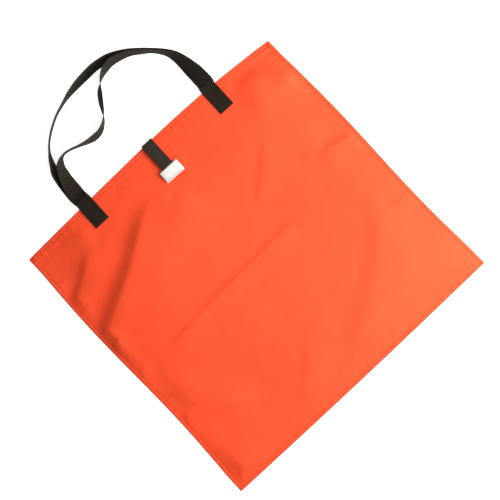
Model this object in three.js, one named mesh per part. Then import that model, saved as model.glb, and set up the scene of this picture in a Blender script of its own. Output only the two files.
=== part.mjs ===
// An empty, open-mouthed fabric bag with two webbing handles and a hook-and-loop closure tab, lying
// flat on its back panel. Millimetres, +Z up, +X along the mouth, +Y out of the mouth. The origin is on
// the surface that the bag lies on, under the middle of the bag.
import * as THREE from 'three';
import { mergeVertices } from 'three/addons/utils/BufferGeometryUtils.js';

// The bag's outline, with y measured from the line between the mouth's two corners. It lies a little
// out of square, and the mouth edge bows out between its corners.
const MOUTH_LEFT = new THREE.Vector2(-305, 0);
const MOUTH_RIGHT = new THREE.Vector2(308, 0);
const BOTTOM_LEFT = new THREE.Vector2(-305, -594);
const BOTTOM_RIGHT = new THREE.Vector2(326, -586);
const MOUTH_BOW = 10.5;
const WIDTH = 612; // along the mouth
const HEIGHT = 592; // from the mouth to the bottom seam
const MOUTH_Y = 290; // from the origin to the mouth's corners

// Cloth, webbing and thread.
const CLOTH = 0.8;
const WEBBING_WIDTH = 32;
const WEBBING = 1.6;
const TAB_WIDTH = 25;
const TAB = 1.4;
const THREAD_WIDTH = 0.8;
const THREAD = 0.4;
const GAP = 0.3; // between layers that touch
const LAYER = GAP + CLOTH;

// Seams and hems.
const EDGE_INSET = 1; // turned-in cloth stops this far inside the outline
const SEAM_ALLOWANCE = 11;
const ALLOWANCE_LAYERS = 2 * CLOTH;
const SEAM_FLAT = 13; // flat border around the sides and the bottom
const SEAM_SLOPE = 60; // the panel climbs from that border to its full height over this width
const SIDE_STITCH_INSET = 7;
const BOTTOM_STITCH_INSET = 9;
const HEM_DEPTH = 12;
const HEM_STITCH_INSET = 8.5;
const HEM_END_INSET = 20;
const HEM_STITCH_END_INSET = 11;
const BAR_TACK_TOP = 3;
const BAR_TACK_LENGTH = 9;
const BAR_TACK_WIDTH = 2.2;

// Heights. Near the mouth the back panel is held up by the webbing ends sewn to its outside.
const FRONT_UNDERSIDE = 12;
const FRONT_TOP = FRONT_UNDERSIDE + CLOTH;
const BACK_END_Z = THREAD + GAP;
const BACK_LIFT = BACK_END_Z + WEBBING + GAP + THREAD + GAP;
const BACK_LIFT_START = 105; // down from the mouth
const BACK_LIFT_FULL = 75;
const FRONT_END_Z = FRONT_TOP + GAP + THREAD + GAP;
const FRONT_STITCH_Z = FRONT_END_Z + WEBBING + GAP;

// Handles.
const HANDLE_LEFT_X = -155;
const HANDLE_RIGHT_X = 164;
const HANDLE_HINGE_Y = 7.5; // the mouth edge where the handles cross it
const SEWN_END_LENGTH = 50;
const LOOP_LEAD = 7; // the strap leaves the mouth squarely for this far
const LOOP_STEPS = 76;
const HANDLE_BOX = { width: 26, length: 34, drop: 9 }; // drop is from the hinge line to its top edge

// Closure tab: a strip from the outside of the back panel, round the mouth edge, down the front.
// Each drop is from the mouth edge at the tab.
const TAB_X = 7.5;
const TAB_BASE_DROP = 48;
const TAB_FLAP_DROP = 79;
const TAB_FOLD_START = 0.4; // past the mouth edge
const TAB_FOLD_DEPTH = 2.5; // from there to the middle of the strip where it folds
const TAB_FOLD_STEPS = 8;
const TAB_HINGE_ANGLE = 0.02; // radians of the fold left open on each side of the hinge line
const TAB_BOX = { width: 19, length: 30, drop: 12 };
const PATCH_WIDTH = 24;
const LOOP_PATCH = { drop: 28, length: 51, thickness: 1.6 };
const HOOK_PATCH = { drop: 47, length: 31, thickness: 1.2 };
const LABEL = { width: 42, length: 24, drop: 58, thickness: 0.5, corner: 1.2 };
const STITCH_MARGIN = 1.5; // from a patch's edge to its stitching
const LOOP_PATCH_Z = FRONT_TOP + GAP;
const LOOP_STITCH_Z = LOOP_PATCH_Z + LOOP_PATCH.thickness + GAP;
const HOOK_PATCH_Z = LOOP_STITCH_Z + THREAD + GAP;
const TAB_FLAP_Z = HOOK_PATCH_Z + HOOK_PATCH.thickness + GAP;
const LABEL_Z = TAB_FLAP_Z + TAB + GAP;
const LABEL_STITCH_Z = LABEL_Z + LABEL.thickness + GAP;
const OPEN_FLAP_Z = 0.4; // the label's stitching stays this far off the ground when the flap is open
const TAB_HINGE_Z = (LABEL_STITCH_Z + THREAD + OPEN_FLAP_Z) / 2;

const FABRIC_LOOK = { color: 0xfc6238, roughness: 0.62, metalness: 0 };
const FABRIC_INSIDE_LOOK = { color: 0xd9502c, roughness: 0.75, metalness: 0 };
const WEBBING_LOOK = { color: 0x1e1c18, roughness: 0.85, metalness: 0 };
const TAB_LOOK = { color: 0x3c352e, roughness: 0.9, metalness: 0 };
const HOOK_LOOK = { color: 0x24211e, roughness: 0.8, metalness: 0 };
const LABEL_LOOK = { color: 0xeeece6, roughness: 0.7, metalness: 0 };
const ORANGE_THREAD_LOOK = { color: 0xe2532a, roughness: 0.55, metalness: 0 };
const BLACK_THREAD_LOOK = { color: 0x151412, roughness: 0.6, metalness: 0 };
const WHITE_THREAD_LOOK = { color: 0xd8d6cf, roughness: 0.6, metalness: 0 };

const bag = new THREE.Group();
bag.name = 'bag';
const atMouth = new THREE.Group();
atMouth.position.y = MOUTH_Y;
bag.add(atMouth);

function add(name, geometry, look) {
  const mesh = new THREE.Mesh(geometry, new THREE.MeshStandardMaterial(look));
  mesh.name = name;
  atMouth.add(mesh);
}

// ---- Cloth: sheets, strips and thread rows that follow the bag's surface ----

// The point of the outline that is `across` from the left side and `down` from the mouth.
function bagPoint(across, down) {
  const mouth = MOUTH_LEFT.clone().lerp(MOUTH_RIGHT, across / WIDTH);
  mouth.y += MOUTH_BOW * (1 - ((2 * across) / WIDTH - 1) ** 2);
  const bottom = BOTTOM_LEFT.clone().lerp(BOTTOM_RIGHT, across / WIDTH);
  return mouth.lerp(bottom, down / HEIGHT);
}

function backUnderside(across, down) {
  const lift = THREE.MathUtils.mapLinear(down, BACK_LIFT_START, BACK_LIFT_FULL, 0, BACK_LIFT);
  return THREE.MathUtils.clamp(lift, 0, BACK_LIFT);
}

// Low along the side and bottom seams, level in the middle and at the mouth.
function frontUnderside(across, down) {
  const inset = Math.min(across, WIDTH - across, HEIGHT - down);
  const climb = THREE.MathUtils.clamp((inset - SEAM_FLAT) / SEAM_SLOPE, 0, 1);
  const atSeam = backUnderside(across, down) + LAYER + ALLOWANCE_LAYERS + GAP;
  return THREE.MathUtils.lerp(atSeam, FRONT_UNDERSIDE, climb);
}

// Splits each cell of a box's underside along the same diagonal as the cell above it, so that the
// sheet keeps its thickness where a cell isn't flat.
function matchDiagonals(box) {
  const underside = box.groups[5];
  const corners = box.index.array;
  for (let i = underside.start; i < underside.start + underside.count; i += 6) {
    const [a, b, d, , c] = corners.slice(i, i + 5);
    corners.set([a, b, c, a, c, d], i);
  }
}

// A box with a grid of columns and rows, bent so that its underside lies on `underside`.
function sheet(columns, rows, thickness, underside) {
  const lastColumn = columns.length - 1;
  const lastRow = rows.length - 1;
  const geometry = new THREE.BoxGeometry(1, 1, 1, lastColumn, lastRow, 1);
  matchDiagonals(geometry);
  geometry.deleteAttribute('normal');
  geometry.deleteAttribute('uv');
  const merged = mergeVertices(geometry);
  const place = merged.attributes.position;
  for (let i = 0; i < place.count; i += 1) {
    const across = columns[Math.round((place.getX(i) + 0.5) * lastColumn)];
    const down = rows[Math.round((0.5 - place.getY(i)) * lastRow)];
    const point = bagPoint(across, down);
    const height = underside(across, down) + (place.getZ(i) > 0 ? thickness : 0);
    place.setXYZ(i, point.x, point.y, height);
  }
  return merged;
}

function stops(from, to, count) {
  return Array.from({ length: count + 1 }, (_, i) => from + ((to - from) * i) / count);
}

// Grid lines where the panels bend, and a few between them.
const BEND = SEAM_FLAT + SEAM_SLOPE;
const PANEL_CELLS = 6;
const panelColumns = [0, SEAM_FLAT, ...stops(BEND, WIDTH - BEND, PANEL_CELLS), WIDTH - SEAM_FLAT, WIDTH];
const levelRows = stops(BACK_LIFT_START, HEIGHT - BEND, PANEL_CELLS);
const panelRows = [0, BACK_LIFT_FULL, ...levelRows, HEIGHT - SEAM_FLAT, HEIGHT];

add('back_panel', sheet(panelColumns, panelRows, CLOTH, backUnderside), FABRIC_LOOK);
add('front_panel', sheet(panelColumns, panelRows, CLOTH, frontUnderside), FABRIC_LOOK);

// The cloth turned in at the side and bottom seams, on the inside of the back panel.
function allowanceUnderside(across, down) {
  return backUnderside(across, down) + LAYER;
}
const sideAllowanceRows = [EDGE_INSET, BACK_LIFT_FULL, BACK_LIFT_START, HEIGHT - SEAM_FLAT];
const allowances = {
  left: [[EDGE_INSET, SEAM_ALLOWANCE], sideAllowanceRows],
  right: [[WIDTH - SEAM_ALLOWANCE, WIDTH - EDGE_INSET], sideAllowanceRows],
  bottom: [[EDGE_INSET, WIDTH - EDGE_INSET], [HEIGHT - SEAM_ALLOWANCE, HEIGHT - EDGE_INSET]],
};
for (const [edge, [columns, rows]] of Object.entries(allowances)) {
  const geometry = sheet(columns, rows, ALLOWANCE_LAYERS, allowanceUnderside);
  add(`${edge}_seam_allowance`, geometry, FABRIC_INSIDE_LOOK);
}

// The mouth hems, turned to the inside of each panel.
const hemColumns = [HEM_END_INSET, ...stops(BEND, WIDTH - BEND, PANEL_CELLS), WIDTH - HEM_END_INSET];
const hemRows = [EDGE_INSET, HEM_DEPTH];
function underFront(across, down) {
  return frontUnderside(across, down) - LAYER;
}
add('front_hem', sheet(hemColumns, hemRows, CLOTH, underFront), FABRIC_INSIDE_LOOK);
add('back_hem', sheet(hemColumns, hemRows, CLOTH, allowanceUnderside), FABRIC_INSIDE_LOOK);

// Thread rows on the outside of the cloth.
function onFront(across, down) {
  return frontUnderside(across, down) + LAYER;
}
function underBack(across, down) {
  return backUnderside(across, down) - GAP - THREAD;
}
function row(inset) {
  return [inset - THREAD_WIDTH / 2, inset + THREAD_WIDTH / 2];
}
const barTackRows = [BAR_TACK_TOP, BAR_TACK_TOP + BAR_TACK_LENGTH];
const sideRows = [
  barTackRows[1] + EDGE_INSET, BACK_LIFT_FULL, BACK_LIFT_START, HEIGHT - BOTTOM_STITCH_INSET - EDGE_INSET,
];
const stitchInsets = { left: SIDE_STITCH_INSET, right: WIDTH - SIDE_STITCH_INSET };
for (const [side, across] of Object.entries(stitchInsets)) {
  const tackColumns = [across - BAR_TACK_WIDTH / 2, across + BAR_TACK_WIDTH / 2];
  add(`${side}_seam_stitching`, sheet(row(across), sideRows, THREAD, onFront), ORANGE_THREAD_LOOK);
  add(`${side}_bar_tack`, sheet(tackColumns, barTackRows, THREAD, onFront), ORANGE_THREAD_LOOK);
}
add(
  'bottom_seam_stitching',
  sheet([SEAM_FLAT, WIDTH - SEAM_FLAT], row(HEIGHT - BOTTOM_STITCH_INSET), THREAD, onFront),
  ORANGE_THREAD_LOOK,
);
const hemStitchColumns = panelColumns.slice(1, -1);
hemStitchColumns.unshift(HEM_STITCH_END_INSET);
hemStitchColumns.push(WIDTH - HEM_STITCH_END_INSET);
const hemStitchRows = row(HEM_STITCH_INSET);
add('front_hem_stitching', sheet(hemStitchColumns, hemStitchRows, THREAD, onFront), ORANGE_THREAD_LOOK);
add('back_hem_stitching', sheet(hemStitchColumns, hemStitchRows, THREAD, underBack), ORANGE_THREAD_LOOK);

// ---- Webbing handles ----

// The middle line of a strap that lies on the ground, turned about its own length. `lean` is the angle
// from lying flat, with the top edge leaning out of the arch, and `over` is how far the strap is
// raised off that place, along its own face.
class WebbingPath extends THREE.Curve {
  constructor(stations) {
    super();
    const line = stations.map(([x, y]) => new THREE.Vector3(x, y, 0));
    const turn = stations.map(([, , lean, over]) => new THREE.Vector3(lean, over, 0));
    this.line = new THREE.CatmullRomCurve3(line, false, 'centripetal');
    this.turn = new THREE.CatmullRomCurve3(turn, false, 'centripetal');
  }

  // Across the strap (outwards and up) and square to its face (inwards and up), at parameter t.
  directions(t) {
    const along = this.line.getTangent(t);
    const inwards = along.cross(new THREE.Vector3(0, 0, 1)).normalize();
    const lean = THREE.MathUtils.degToRad(this.turn.getPoint(t).x);
    const across = inwards.clone().multiplyScalar(-Math.cos(lean));
    across.z = Math.sin(lean);
    const face = inwards.clone().multiplyScalar(Math.sin(lean));
    face.z = Math.cos(lean);
    return { across, face };
  }

  getPoint(t, target = new THREE.Vector3()) {
    const { across, face } = this.directions(t);
    const height = (Math.abs(face.z) * WEBBING + Math.abs(across.z) * WEBBING_WIDTH) / 2;
    const point = this.line.getPoint(t);
    point.z = height;
    return target.copy(point.addScaledVector(face, this.turn.getPoint(t).y));
  }

  computeFrenetFrames(segments) {
    const tangents = [];
    const normals = [];
    const binormals = [];
    for (let i = 0; i <= segments; i += 1) {
      const tangent = this.getTangentAt(i / segments).normalize();
      const { across } = this.directions(this.getUtoTmapping(i / segments));
      const face = tangent.clone().cross(across).normalize();
      tangents.push(tangent);
      normals.push(face.clone().cross(tangent));
      binormals.push(face);
    }
    return { tangents, normals, binormals };
  }
}

function rectangle(width, height) {
  const shape = new THREE.Shape();
  shape.moveTo(-width / 2, -height / 2);
  shape.lineTo(width / 2, -height / 2);
  shape.lineTo(width / 2, height / 2);
  shape.lineTo(-width / 2, height / 2);
  return shape;
}

function loop(stations) {
  return new THREE.ExtrudeGeometry(rectangle(WEBBING_WIDTH, WEBBING), {
    steps: LOOP_STEPS,
    extrudePath: new WebbingPath(stations),
    bevelEnabled: false,
  });
}

const LOOP_START = HANDLE_HINGE_Y + GAP / 2;
const LOOP_STRAIGHT = LOOP_START + LOOP_LEAD;
const FRONT_BASE_OVER = FRONT_END_Z;
const BACK_BASE_OVER = BACK_END_Z;

// Stations are [x, y, lean in degrees, over], from the left end to the right end.
const backStations = [
  [HANDLE_LEFT_X, LOOP_START, 0, BACK_BASE_OVER],
  [HANDLE_LEFT_X, LOOP_STRAIGHT, 0, BACK_BASE_OVER],
  [-157, 24, 3, 0.4],
  [-158, 46, 15, 0],
  [-159, 68, 38, 0],
  [-157, 87, 58, 0],
  [-152, 100, 71, 0],
  [-146, 113, 79, 0],
  [-138, 125, 87, 0],
  [-126, 138, 88, 0],
  [-109, 151, 87, 0],
  [-84, 165, 86, 0],
  [-58, 174, 81, 0],
  [-34, 180, 69, 0],
  [-13, 183, 62, 0],
  [9, 184.5, 58, 0],
  [32, 185, 58, 0],
  [56, 181.5, 61, 0],
  [78, 174, 66, 0],
];
const frontStations = [
  [HANDLE_LEFT_X, LOOP_START, 0, FRONT_BASE_OVER],
  [HANDLE_LEFT_X, LOOP_STRAIGHT, 0, FRONT_BASE_OVER],
  [-156.5, 24, 3, 10.5],
  [-156, 43, 14, 6.5],
  [-153, 63, 35, 4],
  [-149, 77, 50, 2.5],
  [-144, 87, 60, 1],
  [-138, 93.5, 68, 0],
  [-131, 99, 79, 0],
  [-122, 102, 86, 0],
  [-108, 100.5, 86, 0],
  [-90, 94.5, 80, 0],
  [-74, 89.5, 70, 0],
  [-57, 86.5, 62, 0],
  [-43, 87.5, 68, 0],
  [-31, 93, 77, 0],
  [-20, 102, 88, 0],
  [-13, 112, 97, 0],
  [-4, 127, 103, 0],
  [5, 140, 104, 0],
  [14, 150, 97, 0],
  [23, 157.5, 86, 0],
  [32, 163.5, 78, 0],
  [44, 168.5, 68, 0],
  [60, 171, 63, 0],
  [79, 167.5, 65, 0],
];
// From the top of the arch to the right end the front strap lies on the back one.
const sharedStations = [
  [100, 161.5, 70, 2.4],
  [118, 148.5, 75, 2.3],
  [133, 136, 79, 2.3],
  [145, 123, 77, 2.3],
  [153.5, 111, 71, 2.3],
  [159.5, 98, 60, 2.4],
  [163, 82, 47, 2.6],
  [165.5, 63, 33, 3.6],
  [167, 41, 15, 6.5],
  [166.5, 22, 5, 10.5],
  [HANDLE_RIGHT_X, LOOP_STRAIGHT, 0, FRONT_BASE_OVER],
  [HANDLE_RIGHT_X, LOOP_START, 0, FRONT_BASE_OVER],
];
const underShared = sharedStations.map(([x, y, lean, over]) => [
  x, y, lean, over === FRONT_BASE_OVER ? BACK_BASE_OVER : 0,
]);

add('back_handle_loop', loop([...backStations, ...underShared]), WEBBING_LOOK);
add('front_handle_loop', loop([...frontStations, ...sharedStations]), WEBBING_LOOK);

// ---- Flat pieces sewn to the panels ----

// An outline extruded upwards from z, centred on x, with its top edge at y.
function flatPiece(shape, x, y, length, z, thickness) {
  const geometry = new THREE.ExtrudeGeometry(shape, { depth: thickness, bevelEnabled: false });
  geometry.translate(x, y - length / 2, z);
  return geometry;
}

// A stitched rectangle, with a stitched X in it when `crossed`.
function stitchOutline(width, length, crossed) {
  const shape = rectangle(width, length);
  const x = width / 2 - THREAD_WIDTH;
  const y = length / 2 - THREAD_WIDTH;
  if (!crossed) {
    shape.holes.push(new THREE.Path(rectangle(2 * x, 2 * y).getPoints().reverse()));
    return shape;
  }
  const slant = THREAD_WIDTH * Math.hypot(x, y) / 2;
  const alongX = slant / y;
  const alongY = slant / x;
  const triangles = [
    [[-x + alongX, y], [x - alongX, y], [0, alongY]],
    [[-x + alongX, -y], [0, -alongY], [x - alongX, -y]],
    [[-x, y - alongY], [-alongX, 0], [-x, -y + alongY]],
    [[x, y - alongY], [x, -y + alongY], [alongX, 0]],
  ];
  for (const corners of triangles) {
    shape.holes.push(new THREE.Path(corners.map(([cx, cy]) => new THREE.Vector2(cx, cy))));
  }
  return shape;
}

const handleEnd = rectangle(WEBBING_WIDTH, SEWN_END_LENGTH);
const handleBox = stitchOutline(HANDLE_BOX.width, HANDLE_BOX.length, true);
const endY = HANDLE_HINGE_Y - GAP / 2;
const boxY = HANDLE_HINGE_Y - HANDLE_BOX.drop;
for (const [side, x] of [['left', HANDLE_LEFT_X], ['right', HANDLE_RIGHT_X]]) {
  for (const [panel, endZ, stitchZ] of [['front', FRONT_END_Z, FRONT_STITCH_Z], ['back', BACK_END_Z, 0]]) {
    const end = flatPiece(handleEnd, x, endY, SEWN_END_LENGTH, endZ, WEBBING);
    const stitching = flatPiece(handleBox, x, boxY, HANDLE_BOX.length, stitchZ, THREAD);
    add(`${panel}_handle_end_${side}`, end, WEBBING_LOOK);
    add(`${panel}_handle_stitching_${side}`, stitching, BLACK_THREAD_LOOK);
  }
}

// ---- Closure tab ----

// Half of the fold and the straight strip that runs on from it. The side view is drawn in Y and Z and
// extruded along X. `side` is 1 for the upper half and -1 for the lower half.
function tabHalf(stripZ, stripDrop, side) {
  const rise = Math.abs(stripZ - TAB_HINGE_Z);
  const outer = [];
  const inner = [];
  for (const angle of stops(side * TAB_HINGE_ANGLE, (side * Math.PI) / 2, TAB_FOLD_STEPS)) {
    const middle = new THREE.Vector2(TAB_FOLD_DEPTH * Math.cos(angle), rise * Math.sin(angle));
    const out = new THREE.Vector2(rise * Math.cos(angle), TAB_FOLD_DEPTH * Math.sin(angle)).normalize();
    outer.push(middle.clone().addScaledVector(out, TAB / 2));
    inner.push(middle.clone().addScaledVector(out, -TAB / 2));
  }
  const tail = -stripDrop - TAB_FOLD_START;
  outer.push(new THREE.Vector2(tail, side * (rise + TAB / 2)));
  inner.push(new THREE.Vector2(tail, side * (rise - TAB / 2)));
  const sideView = new THREE.Shape([...outer, ...inner.reverse()]);
  const geometry = new THREE.ExtrudeGeometry(sideView, { depth: TAB_WIDTH, bevelEnabled: false });
  const turned = new THREE.Matrix4().makeBasis(
    new THREE.Vector3(0, 1, 0),
    new THREE.Vector3(0, 0, 1),
    new THREE.Vector3(1, 0, 0),
  );
  geometry.applyMatrix4(turned);
  return geometry.translate(TAB_X - TAB_WIDTH / 2, MOUTH_BOW + TAB_FOLD_START, TAB_HINGE_Z);
}

function roundedRectangle(width, length, corner) {
  const x = width / 2 - corner;
  const y = length / 2 - corner;
  const shape = new THREE.Shape();
  shape.absarc(x, y, corner, 0, Math.PI / 2);
  shape.absarc(-x, y, corner, Math.PI / 2, Math.PI);
  shape.absarc(-x, -y, corner, Math.PI, 1.5 * Math.PI);
  shape.absarc(x, -y, corner, 1.5 * Math.PI, 2 * Math.PI);
  return shape;
}

// A piece of the tab, its top edge `drop` below the mouth edge.
function onTab(shape, { drop, length }, z, thickness) {
  return flatPiece(shape, TAB_X, MOUTH_BOW - drop, length, z, thickness);
}

function edgeStitching({ drop, length }, width, z) {
  const outline = stitchOutline(width - 2 * STITCH_MARGIN, length - 2 * STITCH_MARGIN, false);
  const place = { drop: drop + STITCH_MARGIN, length: length - 2 * STITCH_MARGIN };
  return onTab(outline, place, z, THREAD);
}

const tabBox = stitchOutline(TAB_BOX.width, TAB_BOX.length, true);
const loopOutline = rectangle(PATCH_WIDTH, LOOP_PATCH.length);
const hookOutline = rectangle(PATCH_WIDTH, HOOK_PATCH.length);
const labelOutline = roundedRectangle(LABEL.width, LABEL.length, LABEL.corner);
const loopStitching = edgeStitching(LOOP_PATCH, PATCH_WIDTH, LOOP_STITCH_Z);
const labelStitching = edgeStitching(LABEL, LABEL.width, LABEL_STITCH_Z);

add('closure_tab_base', tabHalf(BACK_END_Z + TAB / 2, TAB_BASE_DROP, -1), TAB_LOOK);
add('closure_tab_flap', tabHalf(TAB_FLAP_Z + TAB / 2, TAB_FLAP_DROP, 1), TAB_LOOK);
add('closure_tab_base_stitching', onTab(tabBox, TAB_BOX, 0, THREAD), BLACK_THREAD_LOOK);
add('loop_patch', onTab(loopOutline, LOOP_PATCH, LOOP_PATCH_Z, LOOP_PATCH.thickness), HOOK_LOOK);
add('loop_patch_stitching', loopStitching, BLACK_THREAD_LOOK);
add('hook_patch', onTab(hookOutline, HOOK_PATCH, HOOK_PATCH_Z, HOOK_PATCH.thickness), HOOK_LOOK);
add('label', onTab(labelOutline, LABEL, LABEL_Z, LABEL.thickness), LABEL_LOOK);
add('label_stitching', labelStitching, WHITE_THREAD_LOOK);

export default bag;
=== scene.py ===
"""Looks of an empty fabric ballast bag with two webbing handles and a closure tab, lying flat.

Shapes are worked out in millimetres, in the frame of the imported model: +X along the mouth, +Y out of the
mouth, +Z up. Places on the cloth are given as `across` from the left side and `down` from the mouth.
"""

import math

import bpy
import numpy as np
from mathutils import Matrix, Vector


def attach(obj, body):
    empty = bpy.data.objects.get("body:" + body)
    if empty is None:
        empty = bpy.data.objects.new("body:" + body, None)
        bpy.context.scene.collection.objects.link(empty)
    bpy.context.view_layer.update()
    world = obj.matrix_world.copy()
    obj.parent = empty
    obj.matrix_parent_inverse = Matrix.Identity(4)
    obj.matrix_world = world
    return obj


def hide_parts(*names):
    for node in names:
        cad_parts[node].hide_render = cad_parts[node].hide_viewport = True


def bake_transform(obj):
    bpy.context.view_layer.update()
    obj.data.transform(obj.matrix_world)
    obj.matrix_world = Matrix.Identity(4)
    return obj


MM = 0.001
SEED = 11

# The bag's outline, as in the CAD source.
MOUTH_LEFT = np.array([-305.0, 290.0])
MOUTH_RIGHT = np.array([308.0, 290.0])
BOTTOM_LEFT = np.array([-305.0, -304.0])
BOTTOM_RIGHT = np.array([326.0, -296.0])
WIDTH = 612.0  # finished width and depth, in which places on the cloth are given
HEIGHT = 592.0
MOUTH_BOW = 10.5
MOUTH_SKEW = 2.2  # the bow is a little fuller on the right
LEFT_WAVE = 3.2
RIGHT_WAVE = 2.8
BOTTOM_SAG = 2.2
WAVE_START, WAVE_LENGTH = 40.0, 510.0  # of the sides, down from the mouth

# Cloth layers. Heights are those of the middle of the cloth.
CLOTH = 0.8
BACK_MID = 0.45
BACK_LIFT = 2.7  # near the mouth, where the back handle's sewn ends lie under the back panel
LIFT_FULL, LIFT_START = 75.0, 105.0  # down from the mouth
BORDER_MID = 3.4  # front panel along the seams
MOUTH_MID = 13.2  # front panel at the mouth
FIELD_MID = 4.4  # front panel in the middle
FIELD_START, FIELD_FULL = 80.0, 240.0
EDGE_ROLL = 1.5  # the panels roll together at the seams with this radius
CORNER_LAYERS = 0.5  # extra height of the border at the mouth's corners, where both hems lie
CORNER_DEPTH, CORNER_STEP = 18.0, 4.0
SLOPE_START, SLOPE_WIDTH = 11.0, 70.0
MOUTH_SLOPE_WIDTH = 112.0

SIDE_STITCH = 7.0
BOTTOM_STITCH = 9.0
HEM_STITCH = 8.5
HEM_DEPTH = 12.0
HEM_RISE, HEM_RISE_WIDTH = 0.4, 3.0  # the turned-in cloth shows as a low step
HEM_FOLD = 0.6
HEM_END = 2.5  # the hems stop this far from the sides
GROOVE_DEPTH, GROOVE_WIDTH = 0.42, 1.3  # pulled in by the stitching
PUCKER, PUCKER_OUTSIDE, PUCKER_INSIDE = 0.31, 5.0, 14.0  # height, and reach on either side of the row

# Seam allowances: two layers of cloth between the panels. The side ones start below the mouth's hems and
# end above the bottom one.
ALLOWANCE, ALLOWANCE_EDGE = 11.0, 1.4
ALLOWANCE_TOP, ALLOWANCE_BOTTOM = 14.5, 13.0
ALLOWANCE_CLOTH = 0.7
ALLOWANCE_LOW, ALLOWANCE_LAYER = 1.0, 0.85

# Handles and closure tab, in millimetres from the line between the mouth's corners.
MOUTH_Y = 290.0
STRAP_WIDTH, STRAP = 32.0, 1.6
HANDLE_X = {"left": -155.0, "right": 164.0}
SEWN_LENGTH = 50.0
HINGE_Y = 7.5
END_GAP = 0.15  # between the hinge and the sewn end below it, and the loop above it, in the CAD source
FRONT_BASE = 13.8
BACK_BASE = 0.7
TAB_X, TAB_WIDTH, TAB = 7.5, 25.0, 1.4
TAB_LOW_Z, TAB_HIGH_Z = 1.4, 17.9
TAB_FOLD_DEPTH = 2.5
TAB_BASE_DROP, TAB_FLAP_DROP = 48.0, 79.0
TAB_EDGE = MOUTH_Y + MOUTH_BOW

# Patches under the tab and the label on its end: width, length and the y of the upper end. Then the
# heights of their middles, their thicknesses, and how far from the edge they are sewn.
LOOP_PATCH = (24.0, 51.0, TAB_EDGE - 28.0)
HOOK_PATCH = (24.0, 31.0, TAB_EDGE - 47.0)
LABEL_WIDTH, LABEL_LENGTH, LABEL_TOP = 42.0, 24.0, TAB_EDGE - 58.0
LABEL = (LABEL_WIDTH, LABEL_LENGTH, LABEL_TOP)
LOOP_Z, HOOK_Z, LABEL_Z = 14.1, 16.4, 18.95
LOOP_TAPE, HOOK_TAPE, LABEL_CLOTH = 1.4, 1.2, 0.5
LOOP_SEWN, LABEL_SEWN = 1.5, 1.7
LABEL_DROOP, LABEL_DROOP_WIDTH = 1.3, 9.0
LABEL_LINE_DROP = 20.4

# Box stitching: width, length and distance from the hinge or the mouth's edge. The thread lies a little
# below the face that it is sewn through.
HANDLE_BOX = (26.0, 34.0)
HANDLE_BOX_DROP = 9.0
TAB_BOX = (19.0, 30.0)
TAB_BOX_DROP = 12.0
THREAD_SINK = 0.1

STITCH_PITCH = 3.7
ROW_MARGIN, ROW_TOP = 11.0, 14.0  # hem rows from the sides, and side rows from the mouth
TACK_PITCH = 0.62  # the stitches of a bar tack touch each other
FRONT_STEP, BACK_STEP = 3.15, 5.0  # between the panels' grid lines


def smoothstep(x):
    x = np.clip(x, 0.0, 1.0)
    return x * x * (3.0 - 2.0 * x)


# ---- The shape of the cloth ----


def outline_point(across, down):
    """x and y of a place on the cloth."""
    across, down = np.broadcast_arrays(np.asarray(across, float), np.asarray(down, float))
    s, t = across / WIDTH, down / HEIGHT
    wave = np.sin(2 * np.pi * np.clip((down - WAVE_START) / WAVE_LENGTH, 0, 1))
    mouth_x = MOUTH_LEFT[0] + (MOUTH_RIGHT[0] - MOUTH_LEFT[0]) * s
    mouth_y = MOUTH_Y + MOUTH_BOW * (1 - (2 * s - 1) ** 2) - MOUTH_SKEW * np.sin(2 * np.pi * s)
    bottom_x = BOTTOM_LEFT[0] + (BOTTOM_RIGHT[0] - BOTTOM_LEFT[0]) * s
    bottom_y = BOTTOM_LEFT[1] + (BOTTOM_RIGHT[1] - BOTTOM_LEFT[1]) * s - BOTTOM_SAG * np.sin(np.pi * s)
    x = mouth_x + (bottom_x - mouth_x) * t
    y = mouth_y + (bottom_y - mouth_y) * t
    x += (1 - s) ** 2 * -LEFT_WAVE * wave + s**2 * RIGHT_WAVE * wave
    return x, y


def catmull_rom(points, per_span):
    """Centripetal Catmull-Rom curve through the points, as the CAD source draws it."""
    points = np.asarray(points, float)
    ends = [2 * points[0] - points[1], 2 * points[-1] - points[-2]]
    padded = np.vstack([ends[0], points, ends[1]])
    out = []
    for p0, p1, p2, p3 in zip(padded, padded[1:], padded[2:], padded[3:]):
        d0, d1, d2 = (max(np.linalg.norm(b - a), 1e-6) ** 0.5 for a, b in ((p0, p1), (p1, p2), (p2, p3)))
        m1 = ((p1 - p0) / d0 - (p2 - p0) / (d0 + d1) + (p2 - p1) / d1) * d1
        m2 = ((p2 - p1) / d1 - (p3 - p1) / (d1 + d2) + (p3 - p2) / d2) * d1
        t = (np.arange(per_span) / per_span)[:, None]
        out.append(
            p1
            + m1 * t
            + (-3 * p1 + 3 * p2 - 2 * m1 - m2) * t**2
            + (2 * p1 - 2 * p2 + m1 + m2) * t**3
        )
    return np.vstack([*out, points[-1:]])


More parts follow.
